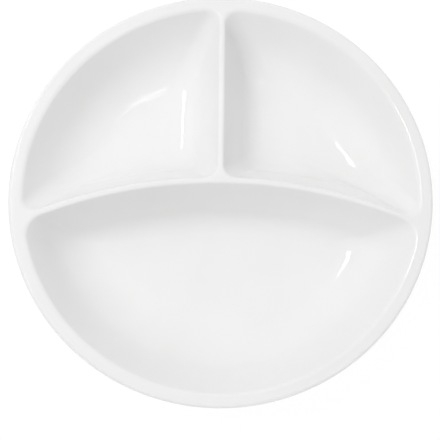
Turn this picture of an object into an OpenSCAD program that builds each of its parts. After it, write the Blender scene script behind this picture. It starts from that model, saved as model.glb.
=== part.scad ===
// Divided compartment plate: a pressed ceramic body and the fired glaze that covers it.
// Origin at the centre of the footprint, on the table. +Z is up, +Y runs along the straight rib.

/* [Plate] */
// Outside diameter of the rim
plate_d = 255; // [220:1:300]
// Depth of the three wells below the rim
well_depth = 30; // [24:0.5:36]
// Thickness of floors and walls, glaze included
wall_t = 4; // [3:0.1:5.5]

/* [Rim] */
// Width of the rim from its outside to the start of the well
rim_w = 6; // [4.5:0.1:8]
// Rounding of the outside of the rim
lip_r = 2; // [1.5:0.1:2.5]
// Slope of the underside of the rim, in degrees
lip_under_slope = 45; // [40:1:55]
// Rounding where the rim turns down into the wells
rim_edge_r = 4.3; // [3:0.1:6]

/* [Ribs] */
// Width of the flat along the crest of both ribs
crest_w = 0.6; // [0.4:0.1:2]
// Rounding where the crest turns down into the wells
crest_edge_r = 1.9; // [1.5:0.1:2.8]
// Depth of solid ceramic under the crests and the rim
crest_depth = 7.5; // [6.5:0.1:9]
// Radius of the curved rib's centre line in plan
curve_r = 292.3; // [240:1:400]
// Distance of the curved rib's top from the plate centre
curve_y = 10.8; // [0:0.1:20]

/* [Walls] */
// Slope of the outer wall, in degrees
outer_slope = 50; // [46:1:58]
// Radius between outer wall and floor
outer_floor_r = 42; // [34:0.5:46]
// Slope of the walls of both ribs, in degrees
rib_slope = 62; // [58:1:68]
// Radius between rib wall and floor
rib_floor_r = 14; // [10:0.5:15]

/* [Corners] */
// Plan radius where the straight rib meets the rim and the curved rib
junction_r = 8; // [5:0.5:10]
// Plan radius of the pointed corners of the small wells
tip_r = 7; // [5:0.1:9]
// Plan radius of the corners of the large well
side_r = 13; // [9:0.5:16]
// Plan radius where the straight rib meets the rim and the curved rib, at floor level
junction_floor_r = 9.5; // [7:0.5:10]
// Plan radius of the pointed corners of the small wells, at floor level
tip_floor_r = 9.5; // [7:0.5:10]
// Plan radius of the corners of the large well, at floor level
side_floor_r = 10; // [8:0.5:20]

/* [Feet] */
// Height of the foot rings under the wells
foot_h = 2; // [1.5:0.1:3]
// Width of the bare band that a foot ring stands on
foot_w = 3; // [2:0.1:4]
// Run of a foot ring's sides
foot_side = 0.8; // [0.6:0.1:1.2]

/* [Glaze] */
// Thickness of the fired glaze
glaze_t = 0.35; // [0.3:0.05:0.6]
// Height above the table where the glaze stops
bare_h = 0.6; // [0.4:0.1:1]

/* [Hidden] */
plate_h = well_depth + wall_t + foot_h;
rim_r = plate_d / 2 - rim_w;
curve_cy = curve_r - curve_y;
curve_out = curve_r + crest_w / 2;
curve_in = curve_r - crest_w / 2;
lip_turn = 180 - lip_under_slope;
// Most that a corner of a small well may take of the circle that fits the well
corner_share = 0.9;

// Segments of a corner, of each rim stretch, of each half of the curved rib and of the junctions
corner_n = 5;
small_rim_n = 13;
large_rim_n = 24;
curve_n = 7;
junction_n = 2;
// Steps down a rounded edge, down the floor rounding inside and outside, and round the lip
edge_n = 3;
bowl_n = 5;
back_n = 4;
lip_n = 5;

function mix(a, b, t) = a + (b - a) * t;
function polar(centre, r, a) = centre + r * [cos(a), sin(a)];
function arc(centre, r, a, b, n) = [for (i = [0:n]) polar(centre, r, mix(a, b, i / n))];
function angle(v) = atan2(v.y, v.x);
function reversed(list) = [for (i = [len(list) - 1:-1:0]) list[i]];
function inner(list) = [for (i = [1:len(list) - 2]) list[i]];
function raised(points, depth) = [for (p = points) [p.x, p.y, plate_h - depth]];

// Surfaces are lists of triangles, wound anticlockwise as seen from above or from outside
function flipped(faces) = [for (f = faces) [f[0], f[2], f[1]]];
function mirrored(points) = [for (p = points) [-p.x, p.y, p.z]];
function mirrored_faces(faces) = flipped([for (f = faces) mirrored(f)]);
function both_sides(faces) = concat(faces, mirrored_faces(faces));
function strip(a, b) = [
    for (i = [0:len(a) - 2])
        each [[a[i], a[i + 1], b[i + 1]], [a[i], b[i + 1], b[i]]]
];
function closed(ring) = concat(ring, [ring[0]]);
function loft(rings) = [
    for (k = [0:len(rings) - 2])
        each strip(closed(rings[k]), closed(rings[k + 1]))
];
function fan(hub, edge) = [for (i = [0:len(edge) - 2]) [hub, edge[i], edge[i + 1]]];
function centre_of(ring) = [for (axis = [0:2]) [for (p = ring) p[axis]] * [for (p = ring) 1] / len(ring)];
function capped(ring) = fan(centre_of(ring), closed(ring));

// How far a wall has run into its well at a depth. The surface lies skin below the finished one
function wall_reach(edge_r, slope, floor_r) =
    (edge_r + floor_r) * sin(slope)
    + (well_depth - (edge_r + floor_r) * (1 - cos(slope))) / tan(slope);
function wall_run(depth, skin, edge_r, slope, floor_r) =
    let (edge = edge_r - skin)
    let (edge_depth = edge_r - edge * cos(slope))
    let (floor_cos = min(1, (depth - well_depth + floor_r) / (floor_r + skin)))
    depth < edge_depth && edge > 0
        ? edge * sqrt(max(0, 1 - pow((edge_r - depth) / edge, 2)))
        : floor_cos > cos(slope)
            ? wall_reach(edge_r, slope, floor_r) - (floor_r + skin) * sqrt(1 - pow(floor_cos, 2))
            : edge * sin(slope) + (depth - edge_depth) / tan(slope);

// A level is [depth, skin, inset]. Inset is the extra run of the foot rings under the floor
function on_wall(level, edge_r, slope, floor_r) =
    wall_run(min(level[0], well_depth + level[1]), level[1], edge_r, slope, floor_r) + level[2];
function outer_run(level) = on_wall(level, rim_edge_r, outer_slope, outer_floor_r);
function rib_run(level) = on_wall(level, crest_edge_r, rib_slope, rib_floor_r);

// Radius of the circle that touches rim and ribs inside a small well at a level
function room(level) =
    let (a = crest_w / 2 + rib_run(level))
    let (rim = rim_r - outer_run(level))
    let (curve = curve_out + rib_run(level))
    let (y = crossing_y(rim, curve))
    let (climb = (curve + rim) / curve_cy)
    let (b = a + y * climb + rim)
    (sqrt(b * b - climb * climb * (a * a + y * y - rim * rim)) - b) / (climb * climb);

// Radii of the corner roundings at a level. They widen with the skin down to the floor's underside
function corner_r(level, crest_value, floor_value) =
    let (skin = level[0] > well_depth + level[1] ? wall_t : level[1])
    mix(crest_value, floor_value, min(1, level[0] / well_depth)) + skin / 2 - level[2];
function small_corner_r(level, crest_value, floor_value) =
    min(corner_r(level, crest_value, floor_value), corner_share * room(level));
function junction_at(level) = small_corner_r(level, junction_r, junction_floor_r);
function tip_at(level) = small_corner_r(level, tip_r, tip_floor_r);
function side_at(level) = corner_r(level, side_r, side_floor_r);

// Centres of the corner roundings at a level
function on_straight(level) = crest_w / 2 + rib_run(level) + junction_at(level);
function top_centre(level) =
    let (x = on_straight(level))
    let (r = rim_r - outer_run(level) - junction_at(level))
    [x, sqrt(r * r - x * x)];
function tee_centre(level) =
    let (x = on_straight(level))
    let (r = curve_out + rib_run(level) + junction_at(level))
    [x, sqrt(r * r - x * x) - curve_cy];
function crossing_y(rim, curve) = (curve * curve - rim * rim - curve_cy * curve_cy) / (2 * curve_cy);
function crossing(rim, curve) =
    let (y = crossing_y(rim, curve))
    [sqrt(rim * rim - y * y), y];
function tip_centre(level) =
    crossing(rim_r - outer_run(level) - tip_at(level), curve_out + rib_run(level) + tip_at(level));
function side_centre(level) =
    crossing(rim_r - outer_run(level) - side_at(level), curve_in - rib_run(level) - side_at(level));
function curve_angle(p) = angle([p.x, p.y + curve_cy]);

// Stretches of the right small well, anticlockwise
function tee_corner(level) =
    let (c = tee_centre(level))
    raised(arc(c, junction_at(level), 180, 180 + curve_angle(c), corner_n), level[0]);
function small_curve(level) =
    let (a = curve_angle(tee_centre(level)))
    let (b = curve_angle(tip_centre(level)))
    raised(arc([0, -curve_cy], curve_out + rib_run(level), a, b, curve_n), level[0]);
function tip_corner(level) =
    let (c = tip_centre(level))
    raised(arc(c, tip_at(level), 180 + curve_angle(c), 360 + angle(c), corner_n), level[0]);
function small_rim(level) =
    let (a = angle(tip_centre(level)))
    let (b = angle(top_centre(level)))
    raised(arc([0, 0], rim_r - outer_run(level), a, b, small_rim_n), level[0]);
function top_corner(level) =
    let (c = top_centre(level))
    raised(arc(c, junction_at(level), angle(c), 180, corner_n), level[0]);
function small_ring(level) = concat(
    tee_corner(level), inner(small_curve(level)), tip_corner(level),
    inner(small_rim(level)), top_corner(level)
);

// Stretches of the large well, anticlockwise
function side_corner(level) =
    let (c = side_centre(level))
    raised(arc(c, side_at(level), angle(c), curve_angle(c), corner_n), level[0]);
function large_curve(level, a, b, n) =
    raised(arc([0, -curve_cy], curve_in - rib_run(level), a, b, n), level[0]);
function right_curve(level) =
    large_curve(level, curve_angle(side_centre(level)), curve_angle(tee_centre(level)), curve_n);
function tee_curve(level) =
    let (a = curve_angle(tee_centre(level)))
    large_curve(level, a, 180 - a, junction_n);
function large_rim(level) =
    let (a = angle(side_centre(level)))
    raised(arc([0, 0], rim_r - outer_run(level), 180 - a, 360 + a, large_rim_n), level[0]);
function large_ring(level) = concat(
    side_corner(level), inner(right_curve(level)), tee_curve(level),
    inner(reversed(mirrored(right_curve(level)))), reversed(mirrored(side_corner(level))),
    inner(large_rim(level))
);

// Polar angles of the rim's points, anticlockwise from the right tip
function spaced(a, b, n) = [for (i = [0:n - 1]) mix(a, b, i / n)];
function rim_angles(level) =
    let (tip = angle(tip_centre(level)))
    let (top = angle(top_centre(level)))
    let (side = angle(side_centre(level)))
    concat(
        spaced(tip, top, small_rim_n),
        spaced(top, 180 - top, junction_n),
        spaced(180 - top, 180 - tip, small_rim_n),
        spaced(180 - tip, 180 - side, junction_n),
        spaced(180 - side, 360 + side, large_rim_n),
        spaced(360 + side, 360 + tip, junction_n)
    );
function rim_ring(angles, r, depth) = raised([for (a = angles) polar([0, 0], r, a)], depth);
function part_of(ring, from, n) = [for (i = [from:from + n]) ring[i % len(ring)]];

// The flat of rim and rib crests at one level, out to radius r
function land(level, r) =
    let (outside = rim_ring(rim_angles(level), r, level[0]))
    let (straight_end = tee_corner(level)[0])
    let (straight_top = top_corner(level)[corner_n])
    let (rim_middle = mix(rim_r - outer_run(level), r, 1 / 2))
    let (hub_z = plate_h - level[0])
    let (side_hub = crossing(rim_middle, curve_r))
    let (top_n = small_rim_n + junction_n)
    let (left_n = top_n + small_rim_n)
    let (side_n = left_n + junction_n + large_rim_n)
    concat(
        both_sides(concat(
            strip(reversed(right_curve(level)), small_curve(level)),
            strip(part_of(outside, 0, small_rim_n), small_rim(level)),
            fan([side_hub.x, side_hub.y, hub_z], closed(concat(
                reversed(side_corner(level)), part_of(outside, side_n, junction_n),
                reversed(tip_corner(level))
            )))
        )),
        strip(part_of(outside, left_n + junction_n, large_rim_n), large_rim(level)),
        strip(
            [mirrored([straight_end])[0], straight_end],
            [mirrored([straight_top])[0], straight_top]
        ),
        fan([0, curve_y, hub_z], closed(concat(
            reversed(tee_curve(level)), reversed(tee_corner(level)), mirrored(tee_corner(level))
        ))),
        fan([0, rim_middle, hub_z], closed(concat(
            reversed(top_corner(level)), part_of(outside, small_rim_n, junction_n),
            mirrored(top_corner(level))
        )))
    );

// The walls of all three wells through a list of levels
function walls(levels) = concat(
    both_sides(loft([for (level = levels) small_ring(level)])),
    loft([for (level = levels) large_ring(level)])
);
function floors(level) = concat(
    both_sides(capped(small_ring(level))),
    capped(large_ring(level))
);

// Levels of the upper side, skin below the finished surface
function bowl_levels(skin) = concat(
    [for (i = [0:edge_n]) [rim_edge_r - (rim_edge_r - skin) * cos(outer_slope * i / edge_n), skin, 0]],
    [for (i = [bowl_n:-1:0])
        [well_depth - outer_floor_r + (outer_floor_r + skin) * cos(outer_slope * i / bowl_n), skin, 0]]
);
// Levels of the underside, cover inside the finished surface
function back_levels(cover) =
    let (skin = wall_t - cover)
    concat(
        [[crest_depth - cover, skin, 0]],
        [for (i = [back_n:-1:0])
            [well_depth - outer_floor_r + (outer_floor_r + skin) * cos(outer_slope * i / back_n), skin, 0]]
    );
// The lip's rings from the top of the rim round to its underside
function lip_rings(cover) =
    let (r = lip_r - cover)
    let (centre = plate_d / 2 - lip_r)
    let (top = rim_angles(bowl_levels(cover)[0]))
    let (under = rim_angles(back_levels(cover)[0]))
    concat(
        [for (i = [0:lip_n])
            let (a = lip_turn * i / lip_n)
            rim_ring(mix(top, under, i / lip_n), centre + r * sin(a), lip_r - r * cos(a))],
        [rim_ring(under, lip_base(cover), crest_depth - cover)]
    );
function lip_base(cover) =
    let (r = lip_r - cover)
    let (turn_end = plate_d / 2 - lip_r + r * sin(lip_turn))
    turn_end - (crest_depth - cover - lip_r + r * cos(lip_turn)) / tan(lip_under_slope);

// Levels of the foot rings. Their sides run from the floor's underside to the table
glaze_line = plate_h - bare_h;
side_at_line = foot_side * (foot_h - bare_h) / foot_h;
foot_run = 2 * foot_side + foot_w;
function foot_levels(cover, side) =
    let (skin = wall_t - cover)
    let (outer = side_at_line + cover)
    side == "outer"
        ? [[glaze_line, skin, outer]]
        : side == "inner"
            ? [[glaze_line, skin, foot_run - outer], [plate_h - foot_h - cover, skin, foot_run]]
            : [[plate_h, skin, foot_side + cover], [plate_h, skin, foot_side + foot_w - cover]];

// Everything outside the foot rings, and the floor that each foot ring encloses
function outer_skin(cover) =
    let (bowl = bowl_levels(cover))
    let (back = back_levels(cover))
    concat(
        land(bowl[0], plate_d / 2 - lip_r),
        walls(bowl),
        floors(bowl[len(bowl) - 1]),
        flipped(loft(lip_rings(cover))),
        flipped(land(back[0], lip_base(cover))),
        flipped(walls(concat(back, foot_levels(cover, "outer"))))
    );
function enclosed_skin(cover) =
    let (levels = foot_levels(cover, "inner"))
    flipped(concat(walls(levels), floors(levels[1])));

module solid(faces) {
    polyhedron(
        points = [for (f = faces) each f],
        faces = [for (i = [0:len(faces) - 1]) [3 * i, 3 * i + 2, 3 * i + 1]],
        convexity = 6
    );
}

module ceramic_body() {
    bare = concat(
        foot_levels(glaze_t, "outer"), foot_levels(glaze_t, "bare"), [foot_levels(glaze_t, "inner")[0]]
    );
    color("ghostwhite")
        solid(concat(outer_skin(glaze_t), flipped(walls(bare)), enclosed_skin(glaze_t)));
}

module glaze() {
    outer_end = [foot_levels(0, "outer")[0], foot_levels(glaze_t, "outer")[0]];
    inner_end = [foot_levels(glaze_t, "inner")[0], foot_levels(0, "inner")[0]];
    color("white")
        solid(concat(
            outer_skin(0), flipped(outer_skin(glaze_t)), flipped(walls(outer_end)),
            enclosed_skin(0), flipped(enclosed_skin(glaze_t)), flipped(walls(inner_end))
        ));
}

ceramic_body();
glaze();
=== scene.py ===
"""Divided compartment plate: the looks of its fired body and glaze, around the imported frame."""
from math import atan2, cos, degrees, radians, sin, sqrt, tan

import bmesh
import bpy
from mathutils import Matrix, Vector


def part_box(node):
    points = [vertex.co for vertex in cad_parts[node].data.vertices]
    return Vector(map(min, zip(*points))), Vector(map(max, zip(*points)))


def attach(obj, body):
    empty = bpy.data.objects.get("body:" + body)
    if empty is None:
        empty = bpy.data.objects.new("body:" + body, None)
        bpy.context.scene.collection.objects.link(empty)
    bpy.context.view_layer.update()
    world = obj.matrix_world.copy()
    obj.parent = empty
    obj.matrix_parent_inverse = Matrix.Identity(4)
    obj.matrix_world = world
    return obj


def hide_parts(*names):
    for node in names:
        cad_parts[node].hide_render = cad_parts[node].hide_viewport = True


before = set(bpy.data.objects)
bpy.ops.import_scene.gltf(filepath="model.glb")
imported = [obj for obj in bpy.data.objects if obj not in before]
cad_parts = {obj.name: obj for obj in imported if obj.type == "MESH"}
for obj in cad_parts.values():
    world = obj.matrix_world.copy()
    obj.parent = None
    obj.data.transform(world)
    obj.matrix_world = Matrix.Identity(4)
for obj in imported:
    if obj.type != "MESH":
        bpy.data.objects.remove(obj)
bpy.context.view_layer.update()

# Lengths are in millimetres, angles in degrees. The frame and Blender are in metres
MM = 0.001
low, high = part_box("glaze")
plate_d = (high.y - low.y) / MM
plate_h = high.z / MM

# Wells, rim and ribs
foot_h = 2
wall_t = 4
well_depth = plate_h - foot_h - wall_t
rim_w = 6
lip_r = 2
lip_under_slope = 45
rim_edge_r = 4.3
crest_w = 0.6
crest_edge_r = 1.9
crest_depth = 7.5
curve_r = 292.3
curve_y = 10.8
outer_slope = 50
outer_floor_r = 42
rib_slope = 62
rib_floor_r = 14
junction_r = 8
tip_r = 7
side_r = 13
junction_floor_r = 9.5
tip_floor_r = 9.5
side_floor_r = 10

# Foot rings and glaze
foot_w = 3
foot_side = 0.8
glaze_t = 0.35
bare_h = low.z / MM

# Segments of each stretch of an outline, and steps down each part of a wall
corner_n = 10
small_rim_n = 60
large_rim_n = 108
curve_n = 36
junction_n = 8
edge_n = 10
slope_n = 5
bowl_n = 16
lip_n = 16
# Width of the strip that keeps the flat of the crests level up to its edge
flat_edge = 0.25
# Decimals to which corners are rounded, so that faces that meet share them
corner_decimals = 4

rim_r = plate_d / 2 - rim_w
curve_cy = curve_r - curve_y
curve_out = curve_r + crest_w / 2
curve_in = curve_r - crest_w / 2
lip_turn = 180 - lip_under_slope


def mix(a, b, t):
    return a + (b - a) * t


def steps(a, b, n):
    return [mix(a, b, i / n) for i in range(n + 1)]


def polar(centre, r, a):
    return centre[0] + r * cos(radians(a)), centre[1] + r * sin(radians(a))


def arc(centre, r, a, b, n):
    return [polar(centre, r, t) for t in steps(a, b, n)]


def angle(x, y):
    return degrees(atan2(y, x))


def raised(points, depth):
    return [(x, y, plate_h - depth) for x, y in points]


def mirrored(points):
    return [(-p[0], p[1], p[2]) for p in points]


def flipped(faces):
    return [f[::-1] for f in faces]


def both_sides(faces):
    return faces + flipped([mirrored(f) for f in faces])


def strip(a, b):
    return [(a[i], a[i + 1], b[i + 1], b[i]) for i in range(len(a) - 1)]


def closed(ring):
    return ring + ring[:1]


def loft(rings):
    return [face for a, b in zip(rings, rings[1:]) for face in strip(closed(a), closed(b))]


def fan(hub, edge):
    return [(hub, a, b) for a, b in zip(edge, edge[1:])]


def wall_run(depth, skin, edge_r, slope, floor_r):
    """How far a wall has run into its well at a depth, skin below the finished surface."""
    turn = radians(slope)
    edge = edge_r - skin
    edge_depth = edge_r - edge * cos(turn)
    floor_cos = min(1, (depth - well_depth + floor_r) / (floor_r + skin))
    if depth < edge_depth and edge > 0:
        return edge * sqrt(max(0, 1 - ((edge_r - depth) / edge) ** 2))
    if floor_cos > cos(turn):
        straight = (well_depth - (edge_r + floor_r) * (1 - cos(turn))) / tan(turn)
        reach = (edge_r + floor_r) * sin(turn) + straight
        return reach - (floor_r + skin) * sqrt(1 - floor_cos**2)
    return edge * sin(turn) + (depth - edge_depth) / tan(turn)


class Level:
    """The plan of all three wells at one depth, on the surface skin below the finished one."""

    def __init__(self, depth, skin, inset=0):
        at = min(depth, well_depth + skin)
        self.depth = depth
        self.outer = wall_run(at, skin, rim_edge_r, outer_slope, outer_floor_r) + inset
        self.rib = wall_run(at, skin, crest_edge_r, rib_slope, rib_floor_r) + inset
        share = min(1, depth / well_depth)
        grow = (wall_t if depth > well_depth + skin else skin) / 2 - inset
        self.junction_r = mix(junction_r, junction_floor_r, share) + grow
        self.tip_r = mix(tip_r, tip_floor_r, share) + grow
        self.side_r = mix(side_r, side_floor_r, share) + grow
        self.rim = rim_r - self.outer
        x = crest_w / 2 + self.rib + self.junction_r
        self.top = (x, sqrt((self.rim - self.junction_r) ** 2 - x * x))
        self.tee = (x, sqrt((curve_out + self.rib + self.junction_r) ** 2 - x * x) - curve_cy)
        self.tip = crossing(self.rim - self.tip_r, curve_out + self.rib + self.tip_r)
        self.side = crossing(self.rim - self.side_r, curve_in - self.rib - self.side_r)

    def raise_arc(self, centre, r, a, b, n):
        return raised(arc(centre, r, a, b, n), self.depth)

    def raise_curve(self, r, a, b, n):
        return self.raise_arc((0, -curve_cy), r, a, b, n)

    def tee_corner(self):
        turn = 180, 180 + curve_angle(self.tee)
        return self.raise_arc(self.tee, self.junction_r, *turn, corner_n)

    def small_curve(self):
        turn = curve_angle(self.tee), curve_angle(self.tip)
        return self.raise_curve(curve_out + self.rib, *turn, curve_n)

    def tip_corner(self):
        turn = 180 + curve_angle(self.tip), 360 + angle(*self.tip)
        return self.raise_arc(self.tip, self.tip_r, *turn, corner_n)

    def small_rim(self):
        return self.raise_arc((0, 0), self.rim, angle(*self.tip), angle(*self.top), small_rim_n)

    def top_corner(self):
        return self.raise_arc(self.top, self.junction_r, angle(*self.top), 180, corner_n)

    def small_ring(self):
        return (
            self.tee_corner() + self.small_curve()[1:-1] + self.tip_corner()
            + self.small_rim()[1:-1] + self.top_corner()
        )

    def side_corner(self):
        turn = angle(*self.side), curve_angle(self.side)
        return self.raise_arc(self.side, self.side_r, *turn, corner_n)

    def right_curve(self):
        turn = curve_angle(self.side), curve_angle(self.tee)
        return self.raise_curve(curve_in - self.rib, *turn, curve_n)

    def tee_curve(self):
        a = curve_angle(self.tee)
        return self.raise_curve(curve_in - self.rib, a, 180 - a, junction_n)

    def large_rim(self):
        a = angle(*self.side)
        return self.raise_arc((0, 0), self.rim, 180 - a, 360 + a, large_rim_n)

    def large_ring(self):
        left_curve = mirrored(self.right_curve())[::-1]
        left_corner = mirrored(self.side_corner())[::-1]
        return (
            self.side_corner() + self.right_curve()[1:-1] + self.tee_curve()
            + left_curve[1:-1] + left_corner + self.large_rim()[1:-1]
        )

    def rim_angles(self):
        tip, top, side = angle(*self.tip), angle(*self.top), angle(*self.side)
        return (
            steps(tip, top, small_rim_n)[:-1] + steps(top, 180 - top, junction_n)[:-1]
            + steps(180 - top, 180 - tip, small_rim_n)[:-1]
            + steps(180 - tip, 180 - side, junction_n)[:-1]
            + steps(180 - side, 360 + side, large_rim_n)[:-1]
            + steps(360 + side, 360 + tip, junction_n)[:-1]
        )


def crossing(rim, curve):
    """Where a circle about the plate's centre crosses one about the curved rib's centre."""
    y = (curve**2 - rim**2 - curve_cy**2) / (2 * curve_cy)
    return sqrt(rim**2 - y * y), y


def curve_angle(p):
    return angle(p[0], p[1] + curve_cy)


def part_of(ring, start, n):
    return [ring[i % len(ring)] for i in range(start, start + n + 1)]


def rim_ring(angles, r, depth):
    return raised([polar((0, 0), r, a) for a in angles], depth)


def land(level, r):
    """The flat of rim and rib crests at one level, out to radius r."""
    outside = rim_ring(level.rim_angles(), r, level.depth)
    left = 2 * small_rim_n + junction_n
    side = left + junction_n + large_rim_n
    hub_z = plate_h - level.depth
    rim_middle = mix(level.rim, r, 1 / 2)
    start, top = level.tee_corner()[0], level.top_corner()[-1]
    side_hub = (*crossing(rim_middle, curve_r), hub_z)
    side_edge = (
        level.side_corner()[::-1] + part_of(outside, side, junction_n)
        + level.tip_corner()[::-1]
    )
    tee_edge = (
        level.tee_curve()[::-1] + level.tee_corner()[::-1]
        + mirrored(level.tee_corner())
    )
    top_edge = (
        level.top_corner()[::-1] + part_of(outside, small_rim_n, junction_n)
        + mirrored(level.top_corner())
    )
    half = (
        strip(level.right_curve()[::-1], level.small_curve())
        + strip(part_of(outside, 0, small_rim_n), level.small_rim())
        + fan(side_hub, closed(side_edge))
    )
    return (
        both_sides(half)
        + strip(part_of(outside, left + junction_n, large_rim_n), level.large_rim())
        + strip(mirrored([start]) + [start], mirrored([top]) + [top])
        + fan((0, curve_y, hub_z), closed(tee_edge))
        + fan((0, rim_middle, hub_z), closed(top_edge))
    )


def walls(levels):
    small = loft([level.small_ring() for level in levels])
    return both_sides(small) + loft([level.large_ring() for level in levels])


def capped(ring):
    hub = tuple(sum(p[axis] for p in ring) / len(ring) for axis in range(3))
    return fan(hub, closed(ring))


def floors(level):
    return both_sides(capped(level.small_ring())) + capped(level.large_ring())


def floor_turn(skin, n):
    """Depths down the rounding between outer wall and floor."""
    turns = steps(outer_slope, 0, n)
    return [well_depth - outer_floor_r + (outer_floor_r + skin) * cos(radians(t)) for t in turns]


def bowl_levels(skin):
    edge_r = rim_edge_r - skin
    edge = [rim_edge_r - edge_r * cos(radians(t)) for t in steps(0, outer_slope, edge_n)]
    bowl = floor_turn(skin, bowl_n)
    slope = steps(edge[-1], bowl[0], slope_n)[1:-1]
    return [Level(skin, skin, -flat_edge)] + [Level(d, skin) for d in edge + slope + bowl]


def back_levels(cover):
    skin = wall_t - cover
    start = crest_depth - cover
    bowl = floor_turn(skin, bowl_n)
    slope = steps(start, bowl[0], slope_n)[:-1]
    return [Level(start, skin, -flat_edge)] + [Level(d, skin) for d in slope + bowl]


def lip_base(cover):
    r = lip_r - cover
    turn = radians(lip_turn)
    drop = crest_depth - cover - lip_r + r * cos(turn)
    return plate_d / 2 - lip_r + r * sin(turn) - drop / tan(radians(lip_under_slope))


def lip_rings(cover):
    """Rings from the top of the rim, over its rounding and round to its underside."""
    r = lip_r - cover
    centre = plate_d / 2 - lip_r
    top = bowl_levels(cover)[0].rim_angles()
    under = back_levels(cover)[0].rim_angles()
    rings = [rim_ring(top, centre - flat_edge, cover)]
    for i, turn in enumerate(steps(0, lip_turn, lip_n)):
        angles = [mix(a, b, i / lip_n) for a, b in zip(top, under)]
        a = radians(turn)
        rings.append(rim_ring(angles, centre + r * sin(a), lip_r - r * cos(a)))
    rings.append(rim_ring(under, lip_base(cover), crest_depth - cover))
    rings.append(rim_ring(under, lip_base(cover) - flat_edge, crest_depth - cover))
    return rings


# Where the glaze stops on the sides of the foot rings
glaze_line = plate_h - bare_h
side_at_line = foot_side * (foot_h - bare_h) / foot_h
foot_run = 2 * foot_side + foot_w


def outer_foot(cover):
    return Level(glaze_line, wall_t - cover, side_at_line + cover)


def inner_foot(cover):
    skin = wall_t - cover
    return [
        Level(glaze_line, skin, foot_run - side_at_line - cover),
        Level(plate_h - foot_h - cover, skin, foot_run),
        Level(plate_h - foot_h - cover, skin, foot_run + flat_edge),
    ]


def bare_foot(cover):
    skin = wall_t - cover
    return [
        Level(plate_h, skin, foot_side + cover),
        Level(plate_h, skin, foot_side + foot_w - cover),
    ]


def outer_skin(cover):
    """The finished surface, or the body's surface under the glaze, outside the foot rings."""
    bowl = bowl_levels(cover)
    back = back_levels(cover)
    return (
        land(bowl[0], plate_d / 2 - lip_r - flat_edge)
        + walls(bowl)
        + floors(bowl[-1])
        + flipped(loft(lip_rings(cover)))
        + flipped(land(back[0], lip_base(cover) - flat_edge))
        + flipped(walls(back + [outer_foot(cover)]))
    )


def enclosed_skin(cover):
    levels = inner_foot(cover)
    return flipped(walls(levels) + floors(levels[-1]))


def add(name, data):
    made = bpy.data.objects.new(name, data)
    bpy.context.collection.objects.link(made)
    return made


def add_mesh(name, mesh, material):
    data = bpy.data.meshes.new(name)
    mesh.to_mesh(data)
    mesh.free()
    data.materials.append(material)
    return add(name, data)


def piece(name, faces, material):
    """One closed, smooth mesh from faces given by their corners in millimetres."""
    mesh = bmesh.new()
    corners = {}
    for face in faces:
        keys = [tuple(round(c, corner_decimals) for c in p) for p in face]
        for key in keys:
            if key not in corners:
                corners[key] = mesh.verts.new(Vector(key) * MM)
        if len(set(keys)) > 2:
            mesh.faces.new([corners[key] for key in dict.fromkeys(keys)])
    bmesh.ops.recalc_face_normals(mesh, faces=mesh.faces)
    for face in mesh.faces:
        face.smooth = True
    return add_mesh(name, mesh, material)


def new_material(name):
    material = bpy.data.materials.new(name)
    material.use_nodes = True
    tree = material.node_tree
    return material, tree, tree.nodes["Principled BSDF"]


def noise(tree, scale, detail, roughness=0.5):
    place = tree.nodes.new("ShaderNodeTexCoord")
    node = tree.nodes.new("ShaderNodeTexNoise")
    node.inputs["Scale"].default_value = scale
    node.inputs["Detail"].default_value = detail
    node.inputs["Roughness"].default_value = roughness
    tree.links.new(place.outputs["Object"], node.inputs["Vector"])
    return node.outputs["Fac"]


def ramp(tree, value, stops):
    node = tree.nodes.new("ShaderNodeValToRGB")
    node.color_ramp.elements[0].position = stops[0][0]
    node.color_ramp.elements[0].color = (*stops[0][1], 1)
    node.color_ramp.elements[1].position = stops[-1][0]
    node.color_ramp.elements[1].color = (*stops[-1][1], 1)
    for position, colour in stops[1:-1]:
        node.color_ramp.elements.new(position).color = (*colour, 1)
    tree.links.new(value, node.inputs["Fac"])
    return node.outputs["Color"]


def bump(tree, height, distance, strength, before=None):
    node = tree.nodes.new("ShaderNodeBump")
    node.inputs["Distance"].default_value = distance
    node.inputs["Strength"].default_value = strength
    tree.links.new(height, node.inputs["Height"])
    if before:
        tree.links.new(before, node.inputs["Normal"])
    return node.outputs["Normal"]


def spread(tree, value, least, most):
    node = tree.nodes.new("ShaderNodeMapRange")
    node.inputs["To Min"].default_value = least
    node.inputs["To Max"].default_value = most
    tree.links.new(value, node.inputs["Value"])
    return node.outputs["Result"]


# The glaze's white in its clouds and between them
cloud_white = (0.865, 0.865, 0.86)
clear_white = (0.885, 0.885, 0.885)
glaze_ior = 1.5
# The bare body's colours: its specks, its ground and its palest grains
speck_colour = (0.68, 0.66, 0.61)
ground_colour = (0.8, 0.785, 0.75)
grain_colour = (0.84, 0.83, 0.8)
# Heights of the glaze's waves and ripples and of the bare body's grain, in metres
wave_height = 0.0004
ripple_height = 0.00004
grain_height = 0.00008


def glaze_material():
    """Clear white gloss with faint clouding, and the slow waviness of a fired coat."""
    material, tree, shader = new_material("white_glaze")
    clouds = noise(tree, scale=26, detail=3)
    tint = ramp(tree, clouds, [(0.3, cloud_white), (0.7, clear_white)])
    tree.links.new(tint, shader.inputs["Base Color"])
    gloss = spread(tree, noise(tree, scale=60, detail=2), least=0.05, most=0.11)
    tree.links.new(gloss, shader.inputs["Roughness"])
    shader.inputs["IOR"].default_value = glaze_ior
    waves = bump(tree, noise(tree, scale=35, detail=1), wave_height, strength=0.25)
    fine = noise(tree, scale=180, detail=2)
    ripples = bump(tree, fine, ripple_height, strength=0.3, before=waves)
    tree.links.new(ripples, shader.inputs["Normal"])
    return material


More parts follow.
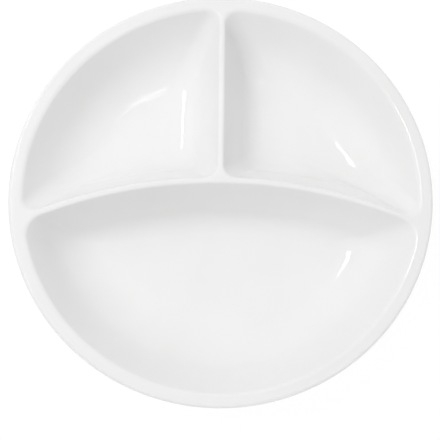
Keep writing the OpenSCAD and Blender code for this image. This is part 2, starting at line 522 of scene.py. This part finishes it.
def bisque_material():
    """Matt unglazed ceramic: off-white, with fine grain and faint specks."""
    material, tree, shader = new_material("bare_bisque")
    grain = noise(tree, scale=900, detail=6, roughness=0.7)
    colours = [(0.25, speck_colour), (0.4, ground_colour), (0.75, grain_colour)]
    tree.links.new(ramp(tree, grain, colours), shader.inputs["Base Color"])
    tree.links.new(spread(tree, grain, least=0.7, most=0.95), shader.inputs["Roughness"])
    tree.links.new(bump(tree, grain, grain_height, strength=0.5), shader.inputs["Normal"])
    return material


def make_glaze():
    coat = outer_skin(0) + enclosed_skin(0)
    inside = outer_skin(glaze_t) + enclosed_skin(glaze_t)
    outer_end = walls([outer_foot(0), outer_foot(glaze_t)])
    inner_end = walls([inner_foot(glaze_t)[0], inner_foot(0)[0]])
    faces = coat + flipped(inside + outer_end + inner_end)
    made = piece("glaze_coat", faces, glaze_material())
    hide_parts("glaze")
    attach(made, "root")


def make_body():
    bare = [outer_foot(glaze_t)] + bare_foot(glaze_t) + [inner_foot(glaze_t)[0]]
    faces = outer_skin(glaze_t) + flipped(walls(bare)) + enclosed_skin(glaze_t)
    made = piece("fired_body", faces, bisque_material())
    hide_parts("ceramic_body")
    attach(made, "root")


# The camera's distance and direction from the middle of the rim, and its focal length in pixels
camera_distance = 1300
camera_azimuth = 0.54
camera_elevation = 75.14
focus_px = 2166.8
frame_px = 440
sensor_w = 36
# Where the photograph's frame is centred, on the plane of the rim's top
aim_x = -0.13
aim_y = -14.06
# Farthest that the camera sees, in metres
sight = 20


def away(azimuth, elevation):
    """Unit vector out from the plate. Azimuth 0 is the front, 90 the right."""
    a, e = radians(azimuth), radians(elevation)
    return Vector((sin(a) * cos(e), -cos(a) * cos(e), sin(e)))


def make_camera():
    data = bpy.data.cameras.new("camera")
    data.sensor_width = sensor_w
    data.lens = sensor_w * focus_px / frame_px
    data.clip_end = sight
    camera = add("camera", data)
    middle = Vector((0, 0, plate_h))
    place = middle + away(camera_azimuth, camera_elevation) * camera_distance
    aim = Vector((aim_x, aim_y, plate_h))
    camera.location = place * MM
    camera.rotation_euler = (aim - place).to_track_quat("-Z", "Y").to_euler()
    bpy.context.scene.camera = camera


# Soft lamps light the plate without showing in its gloss: azimuth, elevation, width and height in
# metres, watts. The low one lights only the rim's outer edge. The distance is in metres
soft_lamps = {
    "key": (-115, 55, 1.2, 1.2, 8.1),
    "front": (-15, 50, 1.2, 1.2, 5.15),
    "back": (160, 30, 1.2, 1.2, 4.2),
    "side": (90, 25, 1.2, 1.2, 0.6),
    "low": (50, 1.6, 2, 0.045, 4.5),
}
lamp_distance = 1.6
# Bright strips give the glaze its sharp highlights: X and Y of both ends and width in metres,
# watts. They all lie at one height in metres
strip_lamps = {
    "strip_right_1": ((0.1, 0), (0.46, -0.24), 0.02, 0.11),
    "strip_right_2": ((0.13, 0.06), (0.49, -0.18), 0.02, 0.13),
    "strip_right_3": ((0.2, -0.14), (0.44, -0.04), 0.03, 0.12),
    "strip_left_1": ((-0.42, 0.45), (-0.42, 0.62), 0.12, 1.4),
    "strip_left_2": ((-0.42, 0.27), (-0.42, 0.45), 0.12, 0.6),
    "strip_left_3": ((-0.42, 0.17), (-0.42, 0.27), 0.12, 0.9),
}
strip_height = 1.5


def lamp(name, place, along, length, width, watts):
    """An area lamp that faces the plate, its length turned towards a direction."""
    data = bpy.data.lights.new(name, "AREA")
    data.shape = "RECTANGLE"
    data.size = length
    data.size_y = width
    data.energy = watts
    light = add(name, data)
    back = place.normalized()
    up = back.cross(along).normalized()
    turn = Matrix((up.cross(back), up, back)).transposed().to_4x4()
    light.matrix_world = Matrix.Translation(place) @ turn
    return light


def make_lamps():
    for name, (azimuth, elevation, width, height, watts) in soft_lamps.items():
        place = away(azimuth, elevation) * lamp_distance
        light = lamp(name, place, away(azimuth + 90, 0), width, height, watts)
        light.visible_glossy = False
    for name, (start, end, width, watts) in strip_lamps.items():
        start, end = Vector((*start, strip_height)), Vector((*end, strip_height))
        along = end - start
        lamp(name, (start + end) / 2, along, along.length, width, watts)


def seen(tree):
    """1 for the rays that show the background: to the camera, in a gloss or through glass."""
    path = tree.nodes.new("ShaderNodeLightPath")
    total = path.outputs["Is Camera Ray"]
    for kind in ("Is Glossy Ray", "Is Transmission Ray"):
        either = tree.nodes.new("ShaderNodeMath")
        either.operation = "MAXIMUM"
        tree.links.new(total, either.inputs[0])
        tree.links.new(path.outputs[kind], either.inputs[1])
        total = either.outputs["Value"]
    return total


# Strength of the white world as light on the plate. As background it is 1
world_light = 0.42
# The floor's pale grey and roughness, the strength of its white glow, the share of the glow where
# the floor is seen as background, and half its side in metres
floor_grey = (0.9, 0.9, 0.9, 1)
floor_roughness = 0.9
floor_glow = 1.04
glow_share = 0.9
floor_half = 3


def make_world():
    world = bpy.data.worlds.new("studio")
    bpy.context.scene.world = world
    world.use_nodes = True
    tree = world.node_tree
    background = tree.nodes["Background"]
    background.inputs["Color"].default_value = (1, 1, 1, 1)
    strength = spread(tree, seen(tree), world_light, 1)
    tree.links.new(strength, background.inputs["Strength"])


def make_floor():
    """A white floor that keeps the plate's shadow: a pale grey surface under a white glow."""
    material, tree, shader = new_material("studio_floor")
    shader.inputs["Base Color"].default_value = floor_grey
    shader.inputs["Roughness"].default_value = floor_roughness
    glow = tree.nodes.new("ShaderNodeEmission")
    glow.inputs["Strength"].default_value = floor_glow
    both = tree.nodes.new("ShaderNodeMixShader")
    tree.links.new(spread(tree, seen(tree), 0, glow_share), both.inputs["Fac"])
    tree.links.new(shader.outputs["BSDF"], both.inputs[1])
    tree.links.new(glow.outputs["Emission"], both.inputs[2])
    tree.links.new(both.outputs["Shader"], tree.nodes["Material Output"].inputs["Surface"])
    mesh = bmesh.new()
    bmesh.ops.create_grid(mesh, x_segments=1, y_segments=1, size=floor_half)
    add_mesh("studio_floor", mesh, material)


bpy.context.scene.view_settings.view_transform = "Standard"
make_camera()
make_glaze()
make_body()
make_floor()
make_world()
make_lamps()
